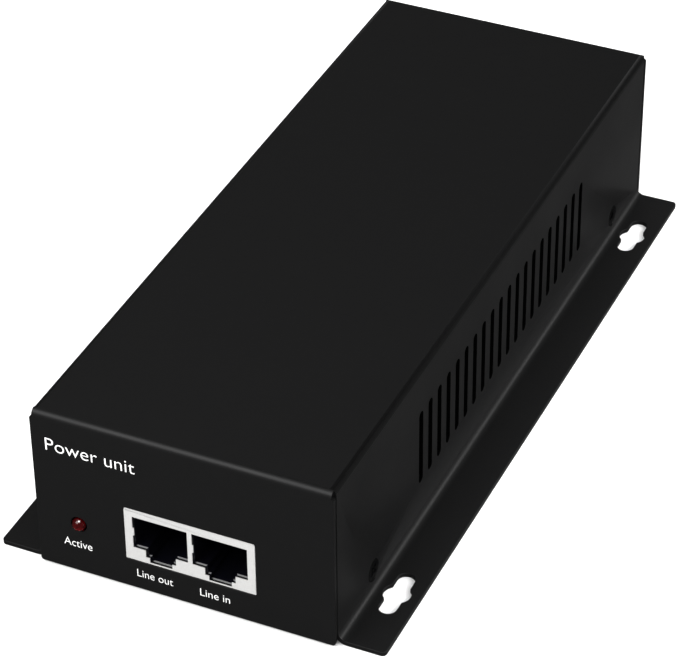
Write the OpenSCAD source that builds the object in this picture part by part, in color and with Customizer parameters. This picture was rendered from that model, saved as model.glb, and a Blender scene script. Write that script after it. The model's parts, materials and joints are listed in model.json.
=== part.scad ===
// Power-over-Ethernet injector in a folded sheet-steel case with wall flanges.
// Frame: origin on the mounting plane, below the middle of the case.
// +Z is up, the jack panel faces -Y and the mains inlet faces +Y.

/* [Case] */
// Width of the case across its side walls
case_w = 66; // [64:1:80]
// Length of the case from the jack panel to the inlet panel
case_l = 176; // [176:1:200]
// Height of the case above the mounting plane
case_h = 39; // [39:0.5:46]
// Thickness of the case sheet
sheet = 1; // [0.8:0.1:1.2]
// Outer radius of the folds round the top
fold_r = 1.4; // [1.3:0.1:2]
// Radius of the fold between a side wall and its flange
flange_fold_r = 1.8; // [1:0.1:2]
// Width across the two wall flanges
flange_w = 86.2; // [84:0.2:100]

/* [Vents and fixings] */
// Number of vent slots in each side wall
vent_count = 20; // [8:1:20]
// Distance between neighbouring vent slots
vent_pitch = 4.8; // [3.5:0.1:5]
// Height of a vent slot
vent_h = 18.2; // [10:0.1:20]
// Width of a vent slot
vent_w = 2; // [1:0.1:2.2]
// Distance of the flange keyholes and the case screws from the middle of the case
fixing_y = 69.2; // [60:0.1:72]
// Distance of the flange keyholes from the centre line
keyhole_x = 38.1; // [38:0.1:40]
// Radius of the middle of a keyhole, which passes a screw head
keyhole_r = 2.95; // [2.9:0.05:3.2]
// Radius of the ends of a keyhole, which hold a screw shank
keyslot_r = 1.9; // [1.5:0.1:2]
// Length of a keyhole from end to end
keyhole_l = 13; // [11:0.5:14]

/* [Jacks and lamp] */
// Middle of the two network jacks across the panel
jack_x = 1.4; // [0:0.1:4]
// Distance between the two network jacks
jack_pitch = 13.2; // [13:0.1:14]
// Width of the double jack
jack_w = 28.9; // [28.7:0.1:31]
// Width of one jack opening
port_w = 12.2; // [11.8:0.1:12.2]
// Place of the lamp across the panel
lamp_x = -23.5; // [-26:0.5:-20]
// Height of the lamp's axis
lamp_z = 12.7; // [12:0.1:14]

/* [Board] */
// Height of the board's underside, which its standoffs set
board_z = 6; // [5:0.5:6]
// Width of the board
board_w = 59; // [58:0.5:59]

/* [Hidden] */
$fn = 48;

front_y = -case_l / 2;
rear_y = case_l / 2;
wall_x = case_w / 2;
inner_x = wall_x - sheet;
fold_y = rear_y - fold_r;         // where the side walls and flanges end
board_t = 1.6;
board_top = board_z + board_t;
board_front = front_y + 1.6;
board_rear = 70;
screw_r = 1.45;                   // M3 shank, running in a 1.5 mm threaded wall
thread_r = 1.5;

// Heights in the jack panel
panel_gap = 0.4;                  // the end panels stop this far above the mounting plane
jack_low = board_top + 0.05;
jack_top = 20.6;
port_top = 18.7;
port_low = 10.8;                  // underside of a jack's wide opening
latch_low = 9.05;                 // underside of the recess for the plug's latch
key_low = 7.87;                   // underside of the narrow slot below that recess
latch_half_w = 3.37;
key_half_w = 2.5;
vent_z = 19.4;
vent_y = 0.4;                     // middle of the row of vents
case_screw_z = 5.3;
inlet_z = 20;

// Positions of the fixings
board_fixings = [[-26.5, -71], [26.5, -71], [-26.5, 65], [26.5, 65]];
inlet_screw_x = 20;
earth_at = [-21, 79];
barrel_turn = -138;               // heading of the earth terminal's barrel from its stud
barrel_reach = 6;
barrel_at = earth_at + barrel_reach * [cos(barrel_turn), sin(barrel_turn)];

contact_count = 8;
contact_pitch = 1.02;
contact_t = 0.36;
contact_hinge = [front_y + 3.3, port_top + 0.45];   // y and z of the bend that a contact arm turns about
contact_arm = 8.6;
contact_drop = 22;                // degrees below level at rest

steel = "#c9cbcc";
black = "#202020";
copper = "#b8662f";

// ---------- shared shapes ----------

// A block between two opposite corners
module slab(low, high) translate(low) cube(high - low);

// A slot along Y with round ends
module obround(length, width) {
    square([width, length - width], center = true);
    for (s = [-1, 1]) translate([0, s * (length - width) / 2]) circle(width / 2);
}

// A rectangle with round corners, centred
module rounded(size, r) {
    square([size.x, size.y - 2 * r], center = true);
    square([size.x - 2 * r, size.y], center = true);
    for (i = [-1, 1], j = [-1, 1]) translate([i * (size.x / 2 - r), j * (size.y / 2 - r)]) circle(r);
}

// A quarter ring in the first quadrant: the section of a fold
module fold(inner_r, t) intersection() {
    difference() {
        circle(inner_r + t);
        circle(inner_r);
    }
    square(inner_r + t);
}

// Carries an XZ drawing along Y, from y0 to y1
module along_y(y0, y1) translate([0, y1, 0]) rotate([90, 0, 0]) linear_extrude(y1 - y0) children();

// Carries a YZ drawing along X, from x0 to x1
module along_x(x0, x1) translate([x0, 0, 0]) rotate([90, 0, 90]) linear_extrude(x1 - x0) children();

// A hexagon with this distance across its flats
module hexagon(flats) circle(flats / 2 / cos(30), $fn = 6);

// A cross recess for a screwdriver, cut down from z = 0
module cross_recess(size, depth) for (a = [0, 90]) rotate(a)
    translate([-size / 2, -size / 9, -depth]) cube([size, size / 4.5, depth + 1]);

// A pan-head screw with its head's underside at z = 0 and its shank going down
module pan_screw(head_r, head_h, shank_r, length) {
    difference() {
        intersection() {
            translate([0, 0, -head_r * 1.1]) sphere(head_r * 1.1 + head_h);
            cylinder(r = head_r, h = head_h + 1);
        }
        translate([0, 0, head_h]) cross_recess(head_r * 1.2, head_h * 0.55);
    }
    translate([0, 0, -length]) cylinder(r = shank_r, h = length);
}

// A nut on the plane z = 0
module nut(flats, r, h) linear_extrude(h) difference() {
    hexagon(flats);
    circle(r);
}

// A round lead from z0 to z1 at a place on the board
module lead(at, z0, z1, r = 0.4) translate([at.x, at.y, z0]) cylinder(r = r, h = z1 - z0);

function unit(v) = v / norm(v);
function points_mid(p, i, u) =                       // a smooth curve through the points p
    let (a = p[max(i - 1, 0)], b = p[i], c = p[i + 1], d = p[min(i + 2, len(p) - 1)])
    0.5 * (2 * b + (c - a) * u + (2 * a - 5 * b + 4 * c - d) * u * u + (3 * b - a - 3 * c + d) * u * u * u);
function smooth(p, n) = [for (i = [0:len(p) - 2], k = [0:n - 1]) points_mid(p, i, k / n), p[len(p) - 1]];
function tangent(p, i) = unit(p[min(i + 1, len(p) - 1)] - p[max(i - 1, 0)]);

// A side direction for each point of p, carried along without twisting
function carried(p, u, i = 0) = i == len(p) ? [] :
    let (t = tangent(p, i), v = unit(u - (u * t) * t)) concat([v], carried(p, v, i + 1));

// A tube of radius r swept along the points p, with its rings square to the line
module tube_along(p, r, sides = 8) {
    n = len(p);
    across = carried(p, [1, 0, 0]);
    rings = [for (i = [0:n - 1]) let (u = across[i], v = cross(tangent(p, i), u))
        for (k = [0:sides - 1]) p[i] + r * (cos(360 * k / sides) * u + sin(360 * k / sides) * v)];
    sides_of = [for (i = [0:n - 2], k = [0:sides - 1])
        let (a = i * sides + k, b = i * sides + (k + 1) % sides) [a, a + sides, b + sides, b]];
    ends = [[for (k = [0:sides - 1]) k], [for (k = [sides - 1:-1:0]) (n - 1) * sides + k]];
    polyhedron(rings, concat(sides_of, ends));
}

// ---------- case ----------

// Half of the folded section: top, side wall and flange, for x > 0
module half_section() {
    translate([0, case_h - sheet]) square([wall_x - fold_r, sheet]);
    translate([wall_x - fold_r, case_h - fold_r]) fold(fold_r - sheet, sheet);
    translate([inner_x, sheet + flange_fold_r]) square([sheet, case_h - fold_r - sheet - flange_fold_r]);
    translate([wall_x + flange_fold_r, sheet + flange_fold_r]) rotate(180) fold(flange_fold_r, sheet);
    translate([wall_x + flange_fold_r, 0]) square([flange_w / 2 - wall_x - flange_fold_r, sheet]);
}

// An end panel's outline in XZ
module end_panel() {
    top = case_h - fold_r;
    translate([0, (top + panel_gap) / 2]) rounded([case_w, top - panel_gap], 0.6);
}

// Both jack openings as one XZ drawing, grown by a margin on every side
module port_outline(margin = 0) for (s = [-1, 1]) translate([jack_x + s * jack_pitch / 2, 0]) {
    // half widths and undersides of the opening, the latch recess and the slot below it
    steps = [[port_w / 2, port_low], [latch_half_w, latch_low], [key_half_w, key_low]];
    half = [for (i = [0:2]) each [
        [steps[i].x + margin, (i == 0 ? port_top + 2 * margin : steps[i - 1].y) - margin],
        [steps[i].x + margin, steps[i].y - margin]]];
    polygon(concat(half, [for (i = [len(half) - 1:-1:0]) [-half[i].x, half[i].y]]));
}

// The inlet's outline seen from behind, with the two upper corners cut off
module inlet_outline(w, h, cut) polygon([[-w / 2, -h / 2], [w / 2, -h / 2], [w / 2, h / 2 - cut],
    [w / 2 - cut, h / 2], [-w / 2 + cut, h / 2], [-w / 2, h / 2 - cut]]);

module keyhole() {
    circle(keyhole_r);
    obround(keyhole_l, 2 * keyslot_r);
}

// One corner of the flange, cut to a radius
module corner_cut(r) difference() {
    square(r + 1);
    circle(r);
}

module cover() color(black) difference() {
    union() {
        for (s = [0, 1]) mirror([s, 0, 0]) along_y(-fold_y, fold_y) half_section();
        for (s = [0, 1]) mirror([0, s, 0]) {
            along_y(front_y, front_y + sheet) end_panel();
            along_x(-wall_x + 0.5, wall_x - 0.5) translate([-fold_y, case_h - fold_r])
                mirror([1, 0]) fold(fold_r - sheet, sheet);
        }
    }
    along_x(-wall_x - 1, wall_x + 1) for (i = [0:vent_count - 1])
        translate([vent_y + (i - (vent_count - 1) / 2) * vent_pitch, vent_z]) obround(vent_h, vent_w);
    for (i = [-1, 1], j = [-1, 1]) translate([i * wall_x, j * fixing_y, case_screw_z])
        rotate([0, -i * 90, 0]) cylinder(r1 = 2.65, r2 = 1.6, h = sheet);
    for (i = [-1, 1], j = [-1, 1]) {
        translate([i * keyhole_x, j * fixing_y, -1]) linear_extrude(sheet + 2) keyhole();
        translate([i * (flange_w / 2 - 1), j * (fold_y - 1), -1])
            mirror([i < 0 ? 1 : 0, 0]) mirror([0, j < 0 ? 1 : 0]) linear_extrude(sheet + 2) corner_cut(1);
    }
    // jack opening and lamp hole
    along_y(front_y - 1, front_y + sheet + 1) {
        translate([jack_x, (jack_low + jack_top) / 2])
            rounded([jack_w + 0.3, jack_top - jack_low + 0.3], 0.5);
        translate([lamp_x, lamp_z]) circle(1.8);
    }
    // mains inlet opening and its two screw holes
    along_y(rear_y - sheet - 1, rear_y + 1) translate([0, inlet_z]) {
        inlet_outline(27.4, 20.2, 4);
        for (s = [-1, 1]) translate([s * inlet_screw_x, 0]) circle(1.7);
    }
}

module bottom_plate() color(black) {
    tab_w = 16;
    notch = 1;                           // width of the cut at each end of a tab
    flat = inner_x - 0.2 - fold_r;       // where the folded-up tabs begin
    edge = inner_x - 0.3;
    end = rear_y - 1.3;
    tab = inner_x - 0.2 - sheet;
    tab_near = fixing_y - tab_w / 2 - notch;
    tab_far = fixing_y + tab_w / 2 + notch;
    difference() {
        union() {
            slab([-flat, -end, 0], [flat, end, sheet]);
            for (y = [[-end, -tab_far], [-tab_near, tab_near], [tab_far, end]])
                slab([-edge, y[0], 0], [edge, y[1], sheet]);
            for (s = [0, 1], j = [-1, 1]) mirror([s, 0, 0])
                along_y(j * fixing_y - tab_w / 2, j * fixing_y + tab_w / 2) {
                    translate([flat, fold_r]) mirror([0, 1]) fold(fold_r - sheet, sheet);
                    translate([tab, fold_r]) square([sheet, 8.2]);
                }
            // drawn bosses that the case screws run in
            for (i = [-1, 1], j = [-1, 1]) translate([i * tab, j * fixing_y, case_screw_z])
                rotate([0, -i * 90, 0]) cylinder(r = 2.2, h = 1.2);
        }
        for (i = [-1, 1], j = [-1, 1]) translate([i * (inner_x + 1), j * fixing_y, case_screw_z])
            rotate([0, -i * 90, 0]) cylinder(r = thread_r, h = 6);
        for (at = board_fixings) translate([at.x, at.y, -1]) cylinder(r = 2.1, h = sheet + 2);
        translate([earth_at.x, earth_at.y, -1]) cylinder(r = 2, h = sheet + 2);
        translate([earth_at.x, earth_at.y, -1]) cylinder(r = 3.2, h = 1.5);
    }
}

// Countersunk screws, seated just under the case's surface
module case_screws() color(black) for (i = [-1, 1], j = [-1, 1])
    translate([i * (wall_x - 0.06), j * fixing_y, case_screw_z]) rotate([0, i * 90, 0]) {
        difference() {
            translate([0, 0, -1]) cylinder(r1 = screw_r, r2 = 2.5, h = 1);
            cross_recess(2.9, 0.8);
        }
        translate([0, 0, -3.2]) cylinder(r = screw_r, h = 2.2);
    }

module insulating_film() color("#e8e4d2") translate([0, -6, sheet]) linear_extrude(0.25) difference() {
    rounded([60.4, 150], 2);
    for (at = board_fixings) translate([at.x, at.y + 6]) circle(3.2);
    translate([earth_at.x, earth_at.y + 6]) circle(5);
}

// ---------- network jacks and lamp ----------

jack_front = front_y + 0.1;
jack_rear = front_y + 21.5;
shield_t = 0.25;
peg_t = 7;                        // distance between the shield's pegs, and of the first from its front

// The shield's outline in XZ, with its two upper corners rounded
module shield_outline(r = 0.5) translate([jack_x, 0]) {
    h = jack_top - jack_low;
    translate([-jack_w / 2, jack_low]) square([jack_w, h - r]);
    translate([r - jack_w / 2, jack_low]) square([jack_w - 2 * r, h]);
    for (s = [-1, 1]) translate([s * (jack_w / 2 - r), jack_top - r]) circle(r);
}

// Stamped shield: front frame, roof, side walls and back
module jack_shield() color(steel) {
    low = jack_x - jack_w / 2;
    high = jack_x + jack_w / 2;
    difference() {
        along_y(jack_front, jack_rear) shield_outline();
        slab([low + shield_t, jack_front + shield_t, jack_low - 1],
            [high - shield_t, jack_rear - shield_t, jack_top - shield_t]);
        along_y(jack_front - 1, jack_front + 1) difference() {
            port_outline();
            // a small nib at the left of each opening, which steadies the plug
            for (s = [-1, 1]) translate([jack_x + s * jack_pitch / 2 - port_w / 2, 14.85])
                square([0.6, 1.9], center = true);
        }
        // spring tongues, cut free on three sides in the side walls
        for (x = [low - 0.5, high - 0.5], z = [11.4, 15.4]) {
            slab([x, jack_front + 3, z], [x + 1, jack_front + 9, z + 0.3]);
            slab([x, jack_front + 3, z + 2.4], [x + 1, jack_front + 9, z + 2.7]);
            slab([x, jack_front + 8.7, z], [x + 1, jack_front + 9, z + 2.7]);
        }
    }
    // grounding pegs that go through the board
    for (x = [low, high - shield_t], i = [1, 2])
        slab([x, jack_front + i * peg_t, board_z - 1],
            [x + shield_t, jack_front + i * peg_t + 1.6, jack_low]);
}

jack_contacts = [for (s = [-1, 1], i = [0:contact_count - 1])
    jack_x + s * jack_pitch / 2 + (i - (contact_count - 1) / 2) * contact_pitch];

// Moulded insulator with two stepped cavities and grooves for sixteen contacts
module jack_housing() color("#151515") {
    low = jack_x - jack_w / 2 + shield_t + 0.05;
    high = jack_x + jack_w / 2 - shield_t - 0.05;
    front = jack_front + 1;
    rear = jack_rear - shield_t - 0.05;
    difference() {
        slab([low, front, jack_low], [high, rear, jack_top - shield_t - 0.05]);
        along_y(front - 1, front + 14.3) port_outline(-0.12);
        for (x = jack_contacts) {
            // slot in the cavity's roof, roof groove and rear groove
            from = contact_hinge.x - 0.9;
            translate([x - 0.3, 0, 0]) {
                slab([0, from, port_top - 0.5], [0.6, from + 10.5, port_top + 1]);
                slab([0, from, port_top + 0.5], [0.6, from + 1.3, jack_top]);
                slab([0, from, jack_top - 1.1], [0.6, rear + 1, jack_top]);
                slab([0, rear - 0.8, jack_low - 1], [0.6, rear + 1, jack_top]);
            }
        }
    }
    // board pegs
    for (s = [-1, 1]) translate([jack_x + s * 6.6, jack_front + 10, board_z - 1.2])
        cylinder(r = 1.5, h = jack_low - board_z + 1.2);
}

// The fixed part of each contact: hinge end, roof run and solder tail
module jack_leads() color("#d8a94a") for (x = jack_contacts) along_x(x - 0.2, x + 0.2) {
    top = jack_top - shield_t - 0.25;
    back = jack_rear - shield_t - 0.3;
    translate([contact_hinge.x - 0.7, contact_hinge.y + 0.1])
        square([contact_t, top - contact_hinge.y - 0.1]);
    translate([contact_hinge.x - 0.7, top - contact_t]) square([back - contact_hinge.x + 0.7, contact_t]);
    translate([back - contact_t, board_z - 1.2]) square([contact_t, top - board_z + 1.2]);
}

// Spring arms of one jack, which a plug lifts as it goes in
module contact_arms(side) color("#e0b050")
    for (i = [0:contact_count - 1])
        let (x = jack_x + side * jack_pitch / 2 + (i - (contact_count - 1) / 2) * contact_pitch)
            along_x(x - 0.2, x + 0.2) translate(contact_hinge) rotate(-contact_drop) {
                circle(0.22);
                translate([0, -contact_t / 2]) square([contact_arm, contact_t]);
                translate([contact_arm, 0.6]) rotate(-90) fold(0.6 - contact_t / 2, contact_t);
            }
module out_contacts() contact_arms(-1);
module in_contacts() contact_arms(1);

led_base = front_y + 4;
module power_led() color("#b01010") translate([lamp_x, led_base, lamp_z]) rotate([90, 0, 0]) {
    cylinder(r = 1.9, h = 0.9);
    cylinder(r = 1.5, h = 3.7);
    translate([0, 0, 3.7]) sphere(1.5);
}

module led_leads() color(steel) for (s = [-1, 1])
    along_x(lamp_x + s * 1.27 - 0.25, lamp_x + s * 1.27 + 0.25) {
    translate([led_base, lamp_z - 0.25]) square([2.6, 0.5]);
    translate([led_base + 2.1, board_z - 1]) square([0.5, lamp_z - board_z + 1.25]);
}

module led_holder() color(black) difference() {
    slab([lamp_x - 2.6, led_base + 0.05, board_top], [lamp_x + 2.6, led_base + 4.6, lamp_z + 2.4]);
    for (s = [-1, 1]) slab([lamp_x + s * 1.27 - 0.4, led_base - 1, board_top - 1],
        [lamp_x + s * 1.27 + 0.4, led_base + 2.8, lamp_z + 0.5]);
}

// ---------- mains inlet, leads and earth ----------

blade_at = [[-7, -2], [7, -2], [0, 2]];      // x and height of line, neutral and earth blades
inlet_back = rear_y - 18;

module inlet_body() color("#181818") translate([0, 0, inlet_z]) difference() {
    union() {
        along_y(rear_y, rear_y + 3) difference() {
            intersection() {
                rounded([50, 23.5], 3);
                circle(25.6);
            }
            for (s = [-1, 1]) translate([s * inlet_screw_x, 0]) circle(1.7);
        }
        along_y(inlet_back, rear_y) inlet_outline(27, 19.8, 4);
    }
    along_y(inlet_back + 3.5, rear_y + 4) inlet_outline(24.4, 16.6, 3.4);
    for (at = blade_at) slab([at.x - 1, inlet_back - 1, at.y - 2], [at.x + 1, inlet_back + 4, at.y + 2]);
    for (s = [-1, 1]) translate([s * inlet_screw_x, rear_y + 3, 0]) rotate([90, 0, 0])
        cylinder(r1 = 3.1, r2 = 1.6, h = 1.7);
}

module inlet_blades() color(steel) translate([0, 0, inlet_z]) for (i = [0:2]) {
    at = blade_at[i];
    tip = rear_y - (i == 2 ? 1 : 3);
    slab([at.x - 1, inlet_back, at.y - 2], [at.x + 1, tip - 1, at.y + 2]);
    slab([at.x - 0.7, tip - 1, at.y - 1.7], [at.x + 0.7, tip, at.y + 1.7]);
    slab([at.x - 0.4, inlet_back - 8, at.y - 2.4], [at.x + 0.4, inlet_back, at.y + 2.4]);
}

module inlet_screws() color(steel) for (s = [-1, 1])
    translate([s * inlet_screw_x, rear_y + 2.95, inlet_z]) rotate([-90, 0, 0]) {
        difference() {
            translate([0, 0, -1.5]) cylinder(r1 = screw_r, r2 = 2.85, h = 1.5);
            cross_recess(3, 0.9);
        }
        translate([0, 0, -8]) cylinder(r = screw_r, h = 6.5);
    }

module inlet_nuts() color(steel) for (s = [-1, 1])
    translate([s * inlet_screw_x, rear_y - sheet, inlet_z]) rotate([90, 0, 0]) nut(5.5, thread_r, 2.4);

// Shrink sleeves over the soldered joints behind the inlet
module blade_sleeves() color("#1b1b1b") for (at = blade_at)
    along_y(inlet_back - 11, inlet_back - 0.3) translate([at.x, inlet_z + at.y]) difference() {
        obround(6.6, 3.2);
        obround(5.6, 2.2);
    }

wire_r = 0.9;
joint_y = inlet_back - 8.4;
header_at = [-24, 50];
function blade_end(i) = [blade_at[i].x, joint_y, inlet_z + blade_at[i].y];

// Line and neutral run from the inlet to the plug on the board; earth runs to the stud
line_points = [blade_end(0), [-7, 58.5, 18], [-8, 55, 20.5], [-12, 54, 24], [-18, 52.5, 25],
    [-22.5, 51, 23], [-24, 50, 19.5], [-24, 50, 16.6]];
neutral_points = [blade_end(1), [7, 58.5, 18.5], [5, 55, 21.5], [0, 54, 26], [-9, 51.5, 29.5],
    [-17, 48.5, 28.5], [-22.5, 46.5, 24.5], [-24, 46, 20], [-24, 46, 16.6]];
earth_points = [blade_end(2), [0, 58.5, 22.5], [-2, 56, 25], [-6, 56, 28.5], [-12, 58, 31], [-18, 63, 31],
    [-23, 70, 26], [-25, 74, 19], [barrel_at.x, barrel_at.y, 12], [barrel_at.x, barrel_at.y, 8],
    [barrel_at.x, barrel_at.y, 3]];

module line_wire() color("#6b3a1c") tube_along(smooth(line_points, 4), wire_r);
module neutral_wire() color("#2458b0") tube_along(smooth(neutral_points, 4), wire_r);
module earth_wire() color("#4f9c2c") tube_along(smooth(earth_points, 4), wire_r);

module earth_stud() color(steel) translate([earth_at.x, earth_at.y, 0]) {
    cylinder(r = 1.98, h = 9);
    cylinder(r = 3.18, h = 0.5);
}
module earth_washer() color(steel)
    translate([earth_at.x, earth_at.y, sheet]) linear_extrude(0.5) difference() {
    circle(4);
    circle(2.1);
    for (a = [0:30:330]) rotate(a) translate([3.4, 0]) square([1.4, 0.7], center = true);
}
// Ring on the stud, with its crimped barrel bent up beside the nut
module earth_ring_terminal() color("#c9a24a") translate([0, 0, sheet + 0.5]) difference() {
    union() {
        translate([earth_at.x, earth_at.y, 0]) {
            cylinder(r = 3.8, h = 0.8);
            rotate(barrel_turn) translate([0, -1.4, 0]) cube([barrel_reach, 2.8, 0.8]);
        }
        translate([barrel_at.x, barrel_at.y, 0]) cylinder(r = 1.5, h = 6);
    }
    translate([earth_at.x, earth_at.y, -1]) cylinder(r = 2.1, h = 3);
    translate([barrel_at.x, barrel_at.y, 0.8]) cylinder(r = 0.95, h = 6);
}
module earth_nut() color(steel) translate([earth_at.x, earth_at.y, sheet + 1.3]) nut(7, 2.02, 3.2);

// ---------- board ----------

bulk_at = [-19.5, 28.5];
bulk_r = 9;
fuse_at = [25, 50];
choke_at = [9, 44.5];
bridge_at = [3, 33];
varistor_at = [22.5, 32.5];
thermistor_at = [17, 27.5];
x_cap_at = [-4, 54.2];
y_cap_at = [[-27, 8], [-27, -2]];
transformer_at = [0, 4];
primary_leads = [for (k = [-1, 0, 1]) [20.4, 8 + k * 2.54]];
secondary_leads = [for (k = [-1, 0, 1]) [-20.4, -24 + k * 2.54]];
output_caps = [[-4, -28], [7.5, -28], [19, -28]];
inductor_at = [-12, -40];
opto_at = [[-12, -18], [8, -18]];
lan_at = [[-8.5, -56], [10.5, -56]];
transformer_pins = [for (s = [-1, 1], k = [-2:2]) [transformer_at.x + k * 5, transformer_at.y + s * 15.6]];
bridge_pins = [for (k = [-1.5, -0.5, 0.5, 1.5]) [bridge_at.x + k * 5.08, bridge_at.y]];

// Every lead that goes through the board, as [x, y, hole radius]
function at_pair(c, dx, dy, r) = [[c.x - dx, c.y - dy, r], [c.x + dx, c.y + dy, r]];
board_holes = concat(
    [for (p = transformer_pins) [p.x, p.y, 0.55]],
    [for (p = bridge_pins) [p.x, p.y, 0.7]],
    [for (p = primary_leads) [p.x, p.y, 0.65]],
    [for (p = secondary_leads) [p.x, p.y, 0.65]],
    [for (c = output_caps, s = [-1, 1]) [c.x + s * 2.5, c.y, 0.5]],
    [for (x = jack_contacts) [x, jack_rear - shield_t - 0.48, 0.35]],
    [for (s = [-1, 1]) [lamp_x + s * 1.27, led_base + 2.35, 0.5]],
    [for (c = y_cap_at, s = [-1, 1]) [c.x, c.y + s * 2.5, 0.5]],
    [for (s = [-1, 1]) [jack_x + s * 6.6, jack_front + 10, 1.6]],
    at_pair(bulk_at, 3.75, 0, 0.6), at_pair(varistor_at, 0, 2.5, 0.55), at_pair(thermistor_at, 0, 2.5, 0.55),
    at_pair(x_cap_at, 5, 0, 0.55), at_pair(fuse_at, 0, 10, 0.8),
    at_pair(choke_at, 6, 5, 0.55), at_pair(choke_at, 6, -5, 0.55), at_pair(inductor_at, 6.5, 0, 0.6),
    [[header_at.x, header_at.y, 0.75], [header_at.x, header_at.y - 4, 0.75]]);

module main_board() color("#1f5a36") translate([0, 0, board_z]) linear_extrude(board_t) difference() {
    translate([0, (board_front + board_rear) / 2]) rounded([board_w, board_rear - board_front], 1);
    for (at = board_fixings) translate(at) circle(1.6);
    for (h = board_holes) translate([h.x, h.y]) circle(h[2]);
    // shield pegs
    for (s = [-1, 1], i = [1, 2])
        translate([jack_x + s * (jack_w - shield_t) / 2, jack_front + i * peg_t + 0.8]) obround(2.1, 0.8);
    // isolation slot between the mains side and the output side
    translate([6, -18.2]) square([34, 1.2], center = true);
}

// Standoffs pressed into the bottom plate
module board_standoffs() color("#c9a24a") for (at = board_fixings) translate([at.x, at.y, 0]) difference() {
    union() {
        cylinder(r = 2.08, h = sheet);
        translate([0, 0, sheet]) linear_extrude(board_z - sheet) hexagon(5);
    }
    translate([0, 0, 0.8]) cylinder(r = thread_r, h = board_z);
}

module board_screws() color(steel) for (at = board_fixings)
    translate([at.x, at.y, board_top]) pan_screw(2.75, 1.7, screw_r, 5.4);

module mains_header() color("#efece2") translate([header_at.x, header_at.y - 2, board_top]) {
    difference() {
        linear_extrude(6) square([8, 9.4], center = true);
        translate([0, 0, 1.6]) linear_extrude(6) square([6.4, 8], center = true);
        for (s = [-1, 1]) translate([0, 2 * s, -1]) cylinder(r = 0.6, h = 4);
    }
    for (s = [-1, 1]) translate([0, 2 * s, board_z - 1 - board_top]) cylinder(r = 0.58, h = 6.6);
}

module mains_plug() color("#f4f1e8") translate([header_at.x, header_at.y - 2, board_top + 1.7]) difference() {
    union() {
        linear_extrude(8.4) square([6.2, 7.8], center = true);
        translate([3.1, -2, 4.5]) cube([1.1, 4, 3.4]);
    }
    for (s = [-1, 1]) {
        translate([0, 2 * s, -1]) cylinder(r = 0.7, h = 4.8);
        translate([0, 2 * s, 6.9]) cylinder(r = 1.15, h = 3);
    }
}

module fuse_clips() color(steel) for (s = [-1, 1]) translate([fuse_at.x, fuse_at.y + s * 7.6, 0]) {
    along_y(-2, 2) translate([0, board_top]) {
        translate([-5, 0]) square([10, 0.5]);
        for (m = [0, 1]) mirror([m, 0]) translate([3.1, 0]) square([0.4, 7.6]);
    }
    translate([-0.6, s * 2.4 - 0.3, board_z - 1]) cube([1.2, 0.6, board_t + 1.5]);
    translate([-0.6, s > 0 ? 0 : -2.7, board_top]) cube([1.2, 2.7, 0.5]);
}

fuse_z = board_top + 3.7;
module fuse_tube() color("#dfe8ea") translate([fuse_at.x, fuse_at.y + 9.9, fuse_z]) rotate([90, 0, 0])
    difference() {
        cylinder(r = 2.4, h = 19.8);
        translate([0, 0, 0.4]) cylinder(r = 1.8, h = 19);
    }
module fuse_caps() color(steel) for (s = [-1, 1]) translate([fuse_at.x, fuse_at.y + s * 4.8, fuse_z])
    rotate([s > 0 ? -90 : 90, 0, 0]) difference() {
        cylinder(r = 2.62, h = 5.6);
        translate([0, 0, -1]) cylinder(r = 2.45, h = 6.15);
    }

// A lacquered disc on two leads, standing across X; each lead ends where it meets the disc's flat middle
module disc_on_leads(at, r, t) {
    low = board_top + 1.2;
    half_gap = 2.5;
    translate([at.x - t / 2, at.y, low + r]) rotate([0, 90, 0]) rotate_extrude() {
        square([r - t / 2, t]);
        translate([r - t / 2, t / 2]) circle(t / 2);
    }
    meet = low + r - sqrt(pow(r - t / 2, 2) - pow(half_gap, 2));
    for (s = [-1, 1]) lead([at.x, at.y + s * half_gap], board_z - 1, meet, 0.38);
}
module surge_varistor() color("#2f62b8") disc_on_leads(varistor_at, 6.5, 4.2);
module inrush_thermistor() color("#2d4a38") disc_on_leads(thermistor_at, 5, 4);
module y_capacitors() color("#3f74b5") for (c = y_cap_at) disc_on_leads(c, 4.5, 3);

module x_capacitor() color("#d9b430") {
    translate([x_cap_at.x, x_cap_at.y, board_top + 0.4]) linear_extrude(9.4) rounded([14, 5.6], 0.6);
    for (s = [-1, 1]) lead([x_cap_at.x + s * 5, x_cap_at.y], board_z - 1, board_top + 0.4, 0.38);
}

// One turn of wire round a ring core whose middle line has this radius
module winding_turn(core_r, turn_r, wire) translate([core_r, 0, 0]) rotate([90, 0, 0])
    rotate_extrude() translate([turn_r, 0]) circle(wire);

// Common-mode choke: an upright ring on a plastic foot, wound in two halves
choke_z = board_top + 12;
module choke_base() color("#232323") translate([choke_at.x, choke_at.y, board_top]) difference() {
    linear_extrude(1.4) rounded([18, 13], 1);
    for (i = [-1, 1], j = [-1, 1]) translate([i * 6, j * 5, -1]) cylinder(r = 0.5, h = 4);
}
module choke_core() color("#2f3330") translate([choke_at.x, choke_at.y, choke_z]) rotate([90, 0, 0])
    rotate_extrude() translate([4.7, -2.6]) square([3.4, 5.2]);
module choke_windings() color(copper) {
    translate([choke_at.x, choke_at.y, choke_z]) rotate([90, 0, 0])
        for (s = [0, 180], k = [-3:3]) rotate(s + k * 18) winding_turn(6.4, 3.7, 0.42);
    for (i = [-1, 1], j = [-1, 1])
        lead([choke_at.x + i * 6, choke_at.y + j * 5], board_z - 1, board_top + 4, 0.45);
}

module bridge_rectifier() color("#1c1c1c") {
    translate([bridge_at.x, bridge_at.y, board_top + 3]) rotate([90, 0, 0])
        linear_extrude(3.5, center = true) difference() {
            translate([0, 9]) rounded([22, 18], 0.5);
            translate([0, 14.2]) circle(1.7);
        }
    for (p = bridge_pins) translate([p.x - 0.5, p.y - 0.25, board_z - 1]) cube([1, 0.5, board_t + 4]);
}

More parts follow.
